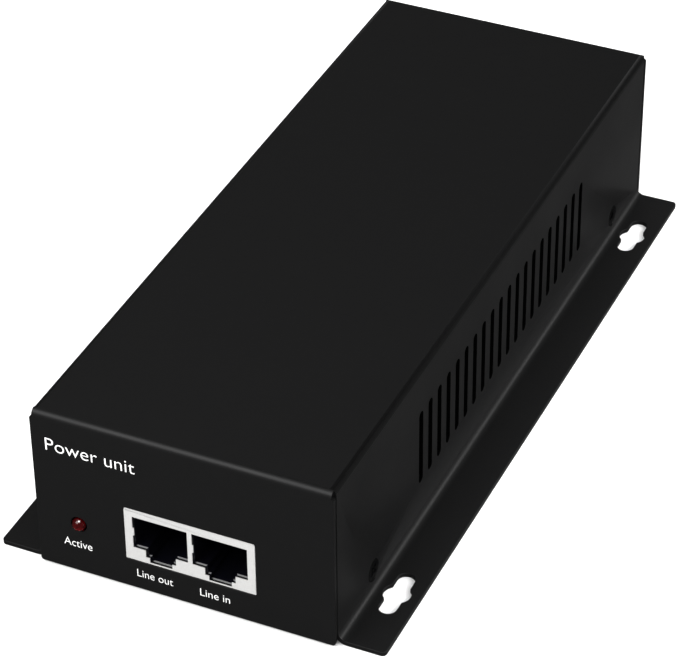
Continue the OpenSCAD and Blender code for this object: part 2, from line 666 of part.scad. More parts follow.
module bulk_capacitor() color("#2a2a38") {
    translate([bulk_at.x, bulk_at.y, board_top]) difference() {
        rotate_extrude() difference() {
            square([bulk_r, 27]);
            translate([bulk_r + 0.4, 2.6]) circle(0.8);
        }
        for (a = [0, 60, 120]) rotate(a) translate([-6, -0.2, 26.7]) cube([12, 0.4, 1]);
    }
    for (s = [-1, 1]) lead([bulk_at.x + s * 3.75, bulk_at.y], board_z - 1, board_top, 0.45);
}

heatsink_x = 23.35;               // face of a heatsink that its power part lies against
heatsink_t = 2.5;
heatsink_screw_z = board_top + 15.2;

// An aluminium plate with ribs towards the vents, for one side of the case
module heatsink(y0, y1) difference() {
    outer = heatsink_x + heatsink_t;
    union() {
        slab([heatsink_x, y0, board_top], [outer, y1, board_top + 25]);
        for (k = [0:4]) translate([outer, y0, board_top + 3 + k * 4.8]) cube([2.95, y1 - y0, 1.4]);
    }
    translate([heatsink_x - 1, (y0 + y1) / 2, heatsink_screw_z]) rotate([0, 90, 0])
        cylinder(r = thread_r, h = 8);
}
module primary_heatsink() color("#b9bcbe") heatsink(-6, 22);
module secondary_heatsink() color("#b9bcbe") mirror([1, 0, 0]) heatsink(-38, -10);

// A flat power package with its tab against a heatsink; +X is towards the heatsink
module flat_package(y) {
    tab_x = heatsink_x;
    low = board_top + 3.2;
    difference() {
        union() {
            slab([tab_x - 4.6, y - 5, low], [tab_x - 0.6, y + 5, low + 9.2]);
            slab([tab_x - 1.3, y - 5, low], [tab_x - 0.02, y + 5, low + 15.6]);
        }
        translate([tab_x - 6, y, heatsink_screw_z]) rotate([0, 90, 0]) cylinder(r = 1.7, h = 8);
    }
}
module power_transistor() color("#1d1d1f") {
    flat_package(8);
    for (p = primary_leads) translate([p.x - 0.25, p.y - 0.4, board_z - 1]) cube([0.5, 0.8, 5.9]);
}
module output_rectifier() color("#1d1d1f") {
    mirror([1, 0, 0]) flat_package(-24);
    for (p = secondary_leads) translate([p.x - 0.25, p.y - 0.4, board_z - 1]) cube([0.5, 0.8, 5.9]);
}
module heatsink_screws() color(steel) for (side = [[1, 8], [-1, -24]])
    translate([side[0] * (heatsink_x - 1.35), side[1], heatsink_screw_z]) rotate([0, -side[0] * 90, 0])
        pan_screw(2.6, 1.8, screw_r, 5.5);

// Transformer: two ferrite halves round a bobbin, wound and taped
module transformer_core() color("#35383a") translate([transformer_at.x, transformer_at.y, board_top + 5])
    for (m = [0, 1]) mirror([0, m, 0]) {
        slab([-16, 8.7, 0], [16, 13, 12]);
        for (x = [-16, 11.5]) slab([x, 0.02, 0], [x + 4.5, 8.7, 12]);
        slab([-4.6, 0.02, 1.4], [4.6, 8.7, 10.6]);
    }
module transformer_bobbin() color("#20211f") translate([transformer_at.x, transformer_at.y, board_top]) {
    difference() {
        union() {
            for (m = [0, 1]) mirror([0, m, 0]) {
                slab([-11, 7.6, 0.3], [11, 8.6, 21]);
                slab([-13, 13.2, 0.3], [13, 17.6, 4.6]);
                slab([-11, 8.6, 0.3], [11, 13.2, 4.6]);
            }
            slab([-5.8, -7.6, 5.2], [5.8, 7.6, 16.8]);
        }
        slab([-4.75, -20, 6.3], [4.75, 20, 15.7]);
    }
    for (p = transformer_pins) lead(p - transformer_at, board_z - 1 - board_top, 0.3);
}
module transformer_winding() color("#e3c13a") translate([transformer_at.x, transformer_at.y, board_top + 11])
    along_y(-7.5, 7.5) difference() {
        rounded([21, 19.6], 3.5);
        square([11.7, 11.7], center = true);
    }

// A small dual-row package flat on the board
module dual_row(at, size, count, pitch) {
    translate([at.x, at.y, board_top + 0.15]) linear_extrude(size.z) square([size.x, size.y], center = true);
    for (s = [-1, 1], i = [0:count - 1])
        translate([at.x + (i - (count - 1) / 2) * pitch, at.y + s * (size.y / 2 + 0.5), board_top + 0.3])
            cube([pitch * 0.35, 1, 0.6], center = true);
}
module optocouplers() color("#ecebe6") for (at = opto_at) dual_row(at, [4.6, 6.4, 3.4], 2, 2.54);
module control_chips() color("#191919") {
    dual_row([19, -12], [5, 4, 1.5], 4, 1.27);
    dual_row([-20, -6], [5, 4, 1.5], 4, 1.27);
    dual_row([23, -50], [5, 4, 1.5], 4, 1.27);
}
module power_controller() color("#191919") {
    dual_row([24, -62], [6.4, 6.4, 1], 10, 0.6);
    dual_row([-23.5, -56], [9.7, 4.4, 1.4], 12, 0.8);
}

module output_capacitors() color("#22324f") for (c = output_caps) {
    translate([c.x, c.y, board_top]) difference() {
        rotate_extrude() difference() {
            square([5, 20]);
            translate([5.3, 2]) circle(0.6);
        }
        for (a = [0, 90]) rotate(a) translate([-3.4, -0.15, 19.7]) cube([6.8, 0.3, 1]);
    }
    for (s = [-1, 1]) lead([c.x + s * 2.5, c.y], board_z - 1, board_top, 0.35);
}

module inductor_core() color("#8fa13a") translate([inductor_at.x, inductor_at.y, board_top + 3.6])
    rotate_extrude() translate([3.4, -2]) square([3.4, 4]);
module inductor_winding() color(copper) {
    translate([inductor_at.x, inductor_at.y, board_top + 3.6])
        for (k = [-6:6]) rotate(90 + k * 24) winding_turn(5.1, 2.98, 0.32);
    for (s = [-1, 1]) lead([inductor_at.x + s * 6.5, inductor_at.y], board_z - 1, board_top + 0.2, 0.4);
}

module lan_transformers() color("#181818") for (at = lan_at) {
    translate([at.x, at.y, board_top + 0.2]) linear_extrude(5.6) rounded([17.6, 10], 0.4);
    for (s = [-1, 1], i = [0:11]) translate([at.x + (i - 5.5) * 1.27, at.y + s * 5.9, board_top + 0.2])
        cube([0.45, 1.8, 0.3], center = true);
}

// Rows of chip parts: [x, y, columns, rows]
chip_pitch = 2.2;
resistor_fields = [[20, -40, 3, 3], [-20, -48, 4, 1], [-8, -47.2, 6, 1], [-21, 6, 1, 4], [13, 23.5, 2, 1]];
capacitor_fields = [[19, -68.5, 2, 1], [8, -47.2, 6, 1], [-24, -66, 3, 1], [-14, -25, 2, 1], [24, -44, 2, 1]];
module chip_field(f, size) for (i = [0:f[2] - 1], j = [0:f[3] - 1])
    translate([f[0] + i * chip_pitch, f[1] + j * chip_pitch, board_top + size.z / 2])
        cube(size, center = true);
module chip_resistors() color("#141414") for (f = resistor_fields) chip_field(f, [1.6, 0.8, 0.45]);
module chip_capacitors() color("#b08a5c") for (f = capacitor_fields) chip_field(f, [1.6, 0.9, 0.85]);

// ---------- nodes ----------

cover();
bottom_plate();
case_screws();
insulating_film();
jack_shield();
jack_housing();
jack_leads();
out_contacts();
in_contacts();
power_led();
led_leads();
led_holder();
inlet_body();
inlet_blades();
inlet_screws();
inlet_nuts();
blade_sleeves();
line_wire();
neutral_wire();
earth_wire();
earth_stud();
earth_ring_terminal();
earth_washer();
earth_nut();
main_board();
board_standoffs();
board_screws();
mains_header();
mains_plug();
fuse_clips();
fuse_tube();
fuse_caps();
surge_varistor();
inrush_thermistor();
x_capacitor();
y_capacitors();
choke_base();
choke_core();
choke_windings();
bridge_rectifier();
bulk_capacitor();
primary_heatsink();
power_transistor();
transformer_core();
transformer_bobbin();
transformer_winding();
optocouplers();
control_chips();
secondary_heatsink();
output_rectifier();
heatsink_screws();
output_capacitors();
inductor_core();
inductor_winding();
lan_transformers();
power_controller();
chip_resistors();
chip_capacitors();
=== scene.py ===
"""Looks of a power-over-Ethernet injector in a folded sheet-steel case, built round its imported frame."""
import json
import math
import bmesh
import bpy
import numpy as np
from mathutils import Matrix, Vector


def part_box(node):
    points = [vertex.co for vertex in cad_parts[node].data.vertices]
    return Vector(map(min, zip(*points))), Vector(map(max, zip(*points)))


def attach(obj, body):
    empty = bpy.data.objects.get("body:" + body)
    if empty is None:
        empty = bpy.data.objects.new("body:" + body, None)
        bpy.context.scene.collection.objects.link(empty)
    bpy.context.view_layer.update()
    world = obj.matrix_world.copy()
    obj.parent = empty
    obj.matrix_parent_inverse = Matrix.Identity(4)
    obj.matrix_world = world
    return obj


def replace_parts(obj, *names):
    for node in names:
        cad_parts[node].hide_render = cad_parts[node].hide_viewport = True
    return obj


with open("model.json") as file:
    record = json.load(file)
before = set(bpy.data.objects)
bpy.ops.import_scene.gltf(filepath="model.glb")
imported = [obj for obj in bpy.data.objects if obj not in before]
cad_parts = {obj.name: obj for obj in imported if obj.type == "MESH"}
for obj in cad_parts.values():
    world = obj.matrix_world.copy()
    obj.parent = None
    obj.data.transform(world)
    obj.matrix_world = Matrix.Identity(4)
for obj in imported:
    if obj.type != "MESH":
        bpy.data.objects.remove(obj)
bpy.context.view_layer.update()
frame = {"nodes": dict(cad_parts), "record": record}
nodes = frame["nodes"]
MM = 0.001
MICRON = 0.000001
SLOT_OF = {part["node"]: part["material_slot"] for part in frame["record"]["subparts"]}

# ---------- camera ----------

VIEW_POINT = Vector((1.3, -15.5, 20.0)) * MM
VIEW_AZIMUTH = math.radians(24.75)
VIEW_ELEVATION = math.radians(36.23)
VIEW_ROLL = math.radians(-0.695)
VIEW_DISTANCE = 649.2 * MM
LENS = 160.56
SENSOR = 36.0
NEAREST = 0.01
FARTHEST = 20.0


def away(azimuth, elevation):
    """Unit vector from the object towards a viewer at this azimuth and elevation."""
    flat = math.cos(elevation)
    return Vector((math.sin(azimuth) * flat, -math.cos(azimuth) * flat, math.sin(elevation)))


def make_camera():
    data = bpy.data.cameras.new("view")
    data.lens = LENS
    data.sensor_width = SENSOR
    data.clip_start = NEAREST
    data.clip_end = FARTHEST
    camera = bpy.data.objects.new("view", data)
    back = away(VIEW_AZIMUTH, VIEW_ELEVATION)
    turn = back.to_track_quat("Z", "Y").to_matrix() @ Matrix.Rotation(VIEW_ROLL, 3, "Z")
    camera.matrix_world = Matrix.Translation(VIEW_POINT + back * VIEW_DISTANCE) @ turn.to_4x4()
    bpy.context.scene.collection.objects.link(camera)
    bpy.context.scene.camera = camera


# ---------- stage and light ----------

DOME = 1.60
DOME_IN_GLOSS = 0.06
# What gloss sees besides the dome: a direction, the cosine where its patch starts, how bright its middle is
GLOSS_PATCHES = [
    ((0.338, 0.733, -0.591), 0.66, 0.09),
    ((0.591, 0.733, 0.338), 0.66, -0.06),
]
FLOOR_HALF = 6.0
FLOOR_DROP = 0.02 * MM
LENS_TIP_DEPTH = 1.0 * MM


def make_world():
    """An even white dome. Glossy rays see it dimmer, with a soft patch added in each listed direction."""
    world = bpy.data.worlds.new("studio")
    world.use_nodes = True
    tree = world.node_tree
    back = tree.nodes["Background"]
    back.inputs["Color"].default_value = (1.0, 1.0, 1.0, 1.0)
    path = tree.nodes.new("ShaderNodeLightPath")
    ray = tree.nodes.new("ShaderNodeTexCoord").outputs["Generated"]
    gloss = DOME_IN_GLOSS
    for direction, start, brightness in GLOSS_PATCHES:
        towards = tree.nodes.new("ShaderNodeVectorMath")
        towards.operation = "DOT_PRODUCT"
        towards.inputs[1].default_value = direction
        wire(tree, ray, towards.inputs[0])
        patch = tree.nodes.new("ShaderNodeMapRange")
        patch.interpolation_type = "SMOOTHSTEP"
        patch.inputs["From Min"].default_value = start
        patch.inputs["To Max"].default_value = brightness
        wire(tree, towards.outputs["Value"], patch.inputs["Value"])
        gloss = math_node(tree, "ADD", patch.outputs["Result"], gloss)
    level = tree.nodes.new("ShaderNodeMapRange")
    level.inputs["To Min"].default_value = DOME
    wire(tree, math_node(tree, "MAXIMUM", gloss, 0.0), level.inputs["To Max"])
    wire(tree, path.outputs["Is Glossy Ray"], level.inputs["Value"])
    wire(tree, level.outputs["Result"], back.inputs["Strength"])
    world.cycles.sampling_method = "NONE"
    bpy.context.scene.world = world
    bpy.context.scene.view_settings.view_transform = "Standard"


def make_floor():
    """A square of white paper just under the object, which gloss doesn't see."""
    mesh = bpy.data.meshes.new("floor")
    turns = ((-1, -1), (1, -1), (1, 1), (-1, 1))
    mesh.from_pydata([(i * FLOOR_HALF, j * FLOOR_HALF, -FLOOR_DROP) for i, j in turns], [], [(0, 1, 2, 3)])
    floor = bpy.data.objects.new("floor", mesh)
    floor.data.materials.append(floor_paper())
    floor.visible_glossy = False
    bpy.context.scene.collection.objects.link(floor)


def softbox(name, aim, azimuth, elevation, distance, size, power, height=None, spread=180.0):
    """A soft rectangular light that faces the point aim from the given direction."""
    data = bpy.data.lights.new(name, "AREA")
    data.shape = "RECTANGLE"
    data.size = size
    data.size_y = height or size
    data.energy = power
    data.spread = math.radians(spread)
    lamp = bpy.data.objects.new(name, data)
    back = away(math.radians(azimuth), math.radians(elevation))
    lamp.location = Vector(aim) + back * distance
    lamp.rotation_euler = back.to_track_quat("Z", "Y").to_euler()
    lamp.visible_camera = False
    bpy.context.scene.collection.objects.link(lamp)
    return lamp


def make_lights():
    """A key light, a strip along the flange, a glint on the front fold and one that only the lens takes."""
    softbox("front_left", aim=(0, 0, 0.03), azimuth=-30.0, elevation=47.0, distance=1.2, size=0.9, power=9.0)
    softbox("flange_strip", aim=(0.052, 0.022, 0.0), azimuth=90.0, elevation=50.0, distance=0.0235,
            size=0.23, power=0.033, height=0.014, spread=130.0)
    softbox("overhead_glint", aim=(-0.0235, -0.09, 0.0127), azimuth=0.0, elevation=82.0, distance=1.2,
            size=0.09, power=0.42)
    low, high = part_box("power_led")
    lens_tip = ((low[0] + high[0]) / 2, low[1] + LENS_TIP_DEPTH, (low[2] + high[2]) / 2)
    glint = softbox("lamp_glint", aim=lens_tip, azimuth=18.0, elevation=74.5, distance=0.010,
                    size=0.0045, power=0.0012)
    lens_only = bpy.data.collections.new("lens_only")
    lens_only.objects.link(nodes["power_led"])
    glint.light_linking.receiver_collection = lens_only


# ---------- shared effects ----------

COARSE_GRAIN = 0.22
SLOW_GRAIN = 0.02
FINE_IN_HEIGHT = 0.65
BRUSHED_CONTRAST = 1.6


def wire(tree, start, end):
    tree.links.new(start, end)


def new_group(name, inputs, outputs):
    """An empty node group. Inputs are (name, socket type, default) triples, outputs (name, socket type)."""
    tree = bpy.data.node_groups.new(name, "ShaderNodeTree")
    for label, kind, value in inputs:
        socket = tree.interface.new_socket(label, in_out="INPUT", socket_type=kind)
        if value is not None:
            socket.default_value = value
    for label, kind in outputs:
        tree.interface.new_socket(label, in_out="OUTPUT", socket_type=kind)
    return tree, tree.nodes.new("NodeGroupInput"), tree.nodes.new("NodeGroupOutput")


def put_or_wire(tree, value, socket):
    """A plain number is set on the socket, anything else is linked to it."""
    if isinstance(value, (int, float)):
        socket.default_value = value
    else:
        wire(tree, value, socket)


def math_node(tree, operation, *values):
    node = tree.nodes.new("ShaderNodeMath")
    node.operation = operation
    for socket, value in zip(node.inputs, values):
        put_or_wire(tree, value, socket)
    return node.outputs[0]


def noise_node(tree, vector, scale, detail=3.0, roughness=0.55):
    node = tree.nodes.new("ShaderNodeTexNoise")
    wire(tree, vector, node.inputs["Vector"])
    put_or_wire(tree, scale, node.inputs["Scale"])
    node.inputs["Detail"].default_value = detail
    node.inputs["Roughness"].default_value = roughness
    return node.outputs["Fac"]


def make_grain():
    """Fine grain on slow mottling: outputs a height, a tone from 0 to 1 and a slow patchiness."""
    tree, given, out = new_group(
        "grain",
        [("Vector", "NodeSocketVector", None), ("Scale", "NodeSocketFloat", 1500.0)],
        [("Height", "NodeSocketFloat"), ("Tone", "NodeSocketFloat"), ("Patch", "NodeSocketFloat")],
    )
    vector = given.outputs["Vector"]
    scale = given.outputs["Scale"]
    fine = noise_node(tree, vector, scale, detail=2.0)
    coarse = noise_node(tree, vector, math_node(tree, "MULTIPLY", scale, COARSE_GRAIN), detail=3.0)
    slow = noise_node(tree, vector, math_node(tree, "MULTIPLY", scale, SLOW_GRAIN), detail=2.0)
    for label, share in (("Height", FINE_IN_HEIGHT), ("Tone", 0.5)):
        fine_part = math_node(tree, "MULTIPLY", fine, share)
        coarse_part = math_node(tree, "MULTIPLY", coarse, 1.0 - share)
        wire(tree, math_node(tree, "ADD", fine_part, coarse_part), out.inputs[label])
    wire(tree, slow, out.inputs["Patch"])
    return tree


def make_brushing():
    """Long fine lines from noise squeezed along one axis: outputs a height and a tone."""
    tree, given, out = new_group(
        "brushing",
        [("Vector", "NodeSocketVector", None), ("Squeeze", "NodeSocketVector", (60.0, 3000.0, 3000.0))],
        [("Height", "NodeSocketFloat"), ("Tone", "NodeSocketFloat")],
    )
    squeeze = tree.nodes.new("ShaderNodeVectorMath")
    squeeze.operation = "MULTIPLY"
    wire(tree, given.outputs["Vector"], squeeze.inputs[0])
    wire(tree, given.outputs["Squeeze"], squeeze.inputs[1])
    lines = noise_node(tree, squeeze.outputs[0], 1.0, detail=3.0, roughness=0.6)
    wire(tree, lines, out.inputs["Height"])
    offset = math_node(tree, "MULTIPLY", math_node(tree, "SUBTRACT", lines, 0.5), BRUSHED_CONTRAST)
    wire(tree, math_node(tree, "ADD", offset, 0.5), out.inputs["Tone"])
    return tree


def make_tint():
    """Darkens and lightens a colour by a mask: colour times (1 + amount * (mask - 0.5) * 2)."""
    tree, given, out = new_group(
        "tint",
        [("Color", "NodeSocketColor", (0.5, 0.5, 0.5, 1.0)), ("Mask", "NodeSocketFloat", 0.5),
         ("Amount", "NodeSocketFloat", 0.1)],
        [("Color", "NodeSocketColor")],
    )
    offset = math_node(tree, "SUBTRACT", given.outputs["Mask"], 0.5)
    doubled = math_node(tree, "MULTIPLY", offset, 2.0)
    gain = math_node(tree, "ADD", math_node(tree, "MULTIPLY", doubled, given.outputs["Amount"]), 1.0)
    scale = tree.nodes.new("ShaderNodeVectorMath")
    scale.operation = "SCALE"
    wire(tree, given.outputs["Color"], scale.inputs[0])
    wire(tree, gain, scale.inputs["Scale"])
    wire(tree, scale.outputs[0], out.inputs["Color"])
    return tree


GRAIN = make_grain()
BRUSHING = make_brushing()
TINT = make_tint()


# ---------- materials ----------

class Finish:
    """One material: a Principled shader, Object coordinates, and short calls that add to the surface."""

    def __init__(self, name, colour, roughness, **sockets):
        self.material = bpy.data.materials.new(name)
        self.material.use_nodes = True
        self.tree = self.material.node_tree
        self.shader = self.tree.nodes["Principled BSDF"]
        self.colour = colour
        self.base = None
        self.normal = None
        self.put("Base Color", (*colour, 1.0))
        self.put("Roughness", roughness)
        for label, value in sockets.items():
            self.put(label.replace("_", " "), value)
        self.coords = self.tree.nodes.new("ShaderNodeTexCoord").outputs["Object"]

    def put(self, label, value):
        self.shader.inputs[label].default_value = value

    def group(self, tree, **inputs):
        node = self.tree.nodes.new("ShaderNodeGroup")
        node.node_tree = tree
        for label, value in inputs.items():
            if isinstance(value, bpy.types.NodeSocket):
                wire(self.tree, value, node.inputs[label])
            else:
                node.inputs[label].default_value = value
        return node

    def tint(self, mask, amount):
        colour = self.base or (*self.colour, 1.0)
        self.base = self.group(TINT, Color=colour, Mask=mask, Amount=amount).outputs["Color"]
        return self

    def mix(self, mask, colour):
        """Lays another colour over the base where the mask is 1."""
        node = self.tree.nodes.new("ShaderNodeMix")
        node.data_type = "RGBA"
        under, over = [socket for socket in node.inputs if socket.type == "RGBA"]
        wire(self.tree, mask, node.inputs["Factor"])
        under.default_value = (*self.colour, 1.0)
        if self.base:
            wire(self.tree, self.base, under)
        over.default_value = (*colour, 1.0)
        self.base = next(socket for socket in node.outputs if socket.type == "RGBA")
        return self

    def vary(self, label, mask, low, high):
        """Drives a socket between two values by a mask."""
        node = self.tree.nodes.new("ShaderNodeMapRange")
        node.inputs["To Min"].default_value = low
        node.inputs["To Max"].default_value = high
        wire(self.tree, mask, node.inputs["Value"])
        wire(self.tree, node.outputs["Result"], self.shader.inputs[label])
        return self

    def relief(self, height, depth, strength=1.0):
        """Adds a bump of this depth in metres, on top of any bump that is there already."""
        node = self.tree.nodes.new("ShaderNodeBump")
        node.inputs["Strength"].default_value = strength
        node.inputs["Distance"].default_value = depth
        wire(self.tree, height, node.inputs["Height"])
        if self.normal:
            wire(self.tree, self.normal, node.inputs["Normal"])
        self.normal = node.outputs["Normal"]
        return self

    def grain(self, scale, depth, tone, rough=None):
        """Grain of this scale and depth that tints the colour and, with rough given, the roughness too."""
        node = self.group(GRAIN, Vector=self.coords, Scale=scale)
        self.tint(node.outputs["Tone"], tone)
        self.relief(node.outputs["Height"], depth)
        if rough:
            self.vary("Roughness", node.outputs["Patch"], *rough)
        return self

    def brushed(self, squeeze, depth, tone, rough):
        """Brushed lines that run along the axis with the smallest squeeze."""
        node = self.group(BRUSHING, Vector=self.coords, Squeeze=squeeze)
        self.tint(node.outputs["Tone"], tone)
        self.relief(node.outputs["Height"], depth)
        return self.vary("Roughness", node.outputs["Tone"], *rough)

    def texture(self, kind, scale, output, **settings):
        """A texture node on Object coordinates; capitalised settings are sockets, the others properties."""
        node = self.tree.nodes.new(kind)
        wire(self.tree, self.coords, node.inputs["Vector"])
        node.inputs["Scale"].default_value = scale
        for label, value in settings.items():
            if label[0].isupper():
                node.inputs[label.replace("_", " ")].default_value = value
            else:
                setattr(node, label, value)
        return node.outputs[output]

    def place(self, axis):
        """Where a point lies along one axis, in metres."""
        parts = self.tree.nodes.new("ShaderNodeSeparateXYZ")
        wire(self.tree, self.coords, parts.inputs[0])
        return parts.outputs[axis]

    def ramp(self, mask, low, high):
        """0 where the mask is low, 1 where it is high."""
        node = self.tree.nodes.new("ShaderNodeMapRange")
        node.inputs["From Min"].default_value = low
        node.inputs["From Max"].default_value = high
        wire(self.tree, mask, node.inputs["Value"])
        return node.outputs["Result"]

    def done(self):
        if self.base:
            wire(self.tree, self.base, self.shader.inputs["Base Color"])
        if self.normal:
            wire(self.tree, self.normal, self.shader.inputs["Normal"])
        return self.material


def floor_paper():
    """White paper that is clear when it is looked at from below."""
    paper = Finish("floor_paper", (0.92, 0.92, 0.92), 0.9)
    below = paper.tree.nodes.new("ShaderNodeNewGeometry").outputs["Backfacing"]
    paper.vary("Alpha", below, 1.0, 0.0)
    return paper.grain(scale=300.0, depth=50 * MICRON, tone=0.01).done()


def powder_coat():
    """Fine-textured satin black powder coat: orange peel under a fine grain, faint speckle."""
    paint = Finish("powder_coat", (0.0057, 0.0057, 0.0058), 0.42, Specular_IOR_Level=0.35)
    paint.grain(scale=2600.0, depth=18 * MICRON, tone=0.10, rough=(0.36, 0.50))
    peel = noise_node(paint.tree, paint.coords, 420.0, detail=2.0)
    return paint.relief(peel, depth=30 * MICRON, strength=0.6).done()


def vent_wall_shade():
    """Painted shade on the walls of the vent slots: near black, as they are too deep and narrow to catch
    light.
    """
    # painted shade: near-black colour and almost no gloss for the deep slot walls
    edge = Finish("vent_wall_shade", (0.0006, 0.0006, 0.0006), 0.8, Specular_IOR_Level=0.02)
    return edge.grain(scale=2600.0, depth=10 * MICRON, tone=0.3).done()


def black_oxide():
    screw = Finish("black_oxide", (0.0012, 0.0012, 0.0013), 0.26, Specular_IOR_Level=0.12)
    return screw.grain(scale=5200.0, depth=6 * MICRON, tone=0.25, rough=(0.20, 0.32)).done()


def plain_plastic(name, colour, roughness, scale, depth, tone, spread=0.06, **sockets):
    """Moulded plastic with a grain, its roughness varied by the spread either way."""
    body = Finish(name, colour, roughness, **sockets)
    return body.grain(scale, depth, tone, rough=(roughness - spread, roughness + spread)).done()


SMOOTHER = 0.08
ROUGHER = 0.10


def plated(name, colour, roughness, squeeze=(40.0, 2600.0, 2600.0), depth=4 * MICRON, tone=0.08):
    """Bare or plated metal with fine drawn lines."""
    metal = Finish(name, colour, roughness, Metallic=1.0)
    return metal.brushed(squeeze, depth, tone, rough=(roughness - SMOOTHER, roughness + ROUGHER)).done()


def stamped_shield():
    """Bright tin-plated strip: soft speckle at two scales, light enough to read as white."""
    strip = Finish("stamped_shield", (0.56, 0.557, 0.548), 0.42, Metallic=0.25, Specular_IOR_Level=0.5)
    strip.grain(scale=5200.0, depth=10 * MICRON, tone=0.10, rough=(0.34, 0.5))
    speckle = strip.texture("ShaderNodeTexNoise", 3800.0, "Fac", Detail=1.0)
    return strip.tint(speckle, 0.10).done()


JACK_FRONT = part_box("jack_housing")[0][1]
JACK_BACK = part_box("jack_housing")[1][1]
# how far behind the jack the painted shade on the board fades out
SHADE_UNDER_JACK_FADE = 0.5 * MM


def circuit_board():
    """Green solder mask: copper tracks read lighter and stand a little proud; under the jack it is painted
    black as painted shade.
    """
    board = Finish("solder_mask", (0.012, 0.085, 0.035), 0.28, Coat_Weight=0.25, Coat_Roughness=0.12)
    cells = board.texture("ShaderNodeTexVoronoi", 190.0, "Distance", feature="DISTANCE_TO_EDGE",
                          distance="CHEBYCHEV", Randomness=0.85)
    tracks = board.ramp(cells, 0.16, 0.1)
    runs = board.texture("ShaderNodeTexBrick", 130.0, "Fac", Mortar_Size=0.16, Mortar_Smooth=0.1,
                         Brick_Width=0.9)
    both = math_node(board.tree, "MAXIMUM", tracks, math_node(board.tree, "MULTIPLY", runs, 0.8))
    board.mix(both, (0.03, 0.17, 0.06)).relief(both, 30 * MICRON)
    # painted shade: the board is coloured black under the jack
    shade_under_jack = board.ramp(board.place("Y"), JACK_BACK + SHADE_UNDER_JACK_FADE, JACK_BACK)
    board.mix(shade_under_jack, (0.002, 0.002, 0.002))
    return board.grain(scale=3000.0, depth=4 * MICRON, tone=0.06, rough=(0.22, 0.36)).done()


def enamelled_copper():
    coat = Finish("enamelled_copper", (0.50, 0.16, 0.045), 0.25, Metallic=0.85, Coat_Weight=0.6,
                  Coat_Roughness=0.15)
    return coat.grain(scale=1800.0, depth=8 * MICRON, tone=0.18, rough=(0.2, 0.34)).done()


def polyester_tape():
    """Yellow tape wound in layers: faint edges of each turn along the winding."""
    tape = Finish("polyester_tape", (0.80, 0.55, 0.05), 0.3, Coat_Weight=0.3, Coat_Roughness=0.1)
    turns = tape.texture("ShaderNodeTexWave", 90.0, "Fac", bands_direction="Y", Distortion=0.6, Detail=1.0)
    tape.relief(turns, 40 * MICRON).tint(turns, 0.08)
    return tape.grain(scale=900.0, depth=10 * MICRON, tone=0.06, rough=(0.24, 0.4)).done()


def ferrite():
    """Grey sintered ceramic with small pits."""
    core = Finish("ferrite", (0.035, 0.037, 0.040), 0.6, Metallic=0.15)
    pits = core.texture("ShaderNodeTexVoronoi", 1600.0, "Distance")
    core.relief(pits, 20 * MICRON)
    return core.grain(scale=3600.0, depth=10 * MICRON, tone=0.25, rough=(0.5, 0.7)).done()


def wire_skin(name, colour):
    return plain_plastic(name, colour, 0.34, scale=900.0, depth=10 * MICRON, tone=0.06, Coat_Weight=0.1)


def dipped(name, colour):
    """Dipped epoxy: slow waves under a glossy skin."""
    coat = Finish(name, colour, 0.18, Coat_Weight=0.5, Coat_Roughness=0.08)
    return coat.grain(scale=420.0, depth=60 * MICRON, tone=0.12, rough=(0.14, 0.28)).done()


# height where the painted light in the lower lens begins, as a share of the way from foot to head
LENS_PAINTED_LIGHT_TOP = 0.55


def clear_red():
    """Water-clear red lamp body, unlit: a brighter red painted into its lower half stands in for light
    gathering there, over faint rings of the cup.
    """
    lens = Finish("clear_red", (0.022, 0.0004, 0.0006), 0.07, IOR=1.53, Coat_Weight=0.3, Coat_Roughness=0.04)
    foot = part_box("power_led")[0][2]
    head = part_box("power_led")[1][2]
    painted_light_top = LENS_PAINTED_LIGHT_TOP * head + (1 - LENS_PAINTED_LIGHT_TOP) * foot
    # painted light: the lens is coloured a brighter red towards its foot, where light through it would
    # gather
    lens.mix(lens.ramp(lens.place("Z"), painted_light_top, foot), (0.17, 0.002, 0.004))
    cup = lens.texture("ShaderNodeTexWave", 260.0, "Fac", wave_type="RINGS", rings_direction="Y",
                       Distortion=1.5)
    return lens.tint(cup, 0.25).grain(scale=700.0, depth=3 * MICRON, tone=0.05).done()


def fuse_glass():
    tube = Finish("fuse_glass", (0.93, 0.97, 0.96), 0.03, Transmission_Weight=1.0, IOR=1.5)
    return tube.grain(scale=300.0, depth=4 * MICRON, tone=0.02).done()


def printed_ink():
    ink = Finish("printed_ink", (0.80, 0.80, 0.79), 0.5)
    return ink.grain(scale=4200.0, depth=6 * MICRON, tone=0.05, rough=(0.42, 0.58)).done()


def sleeve_film(name, colour):
    """Shrunk sleeve: glossy, with faint rings where it drew in."""
    film = Finish(name, colour, 0.22, Coat_Weight=0.35, Coat_Roughness=0.1)
    rings = film.texture("ShaderNodeTexWave", 55.0, "Fac", bands_direction="Z", Distortion=3.0, Detail=2.0)
    film.relief(rings, 20 * MICRON)
    return film.grain(scale=1500.0, depth=6 * MICRON, tone=0.1, rough=(0.18, 0.3)).done()


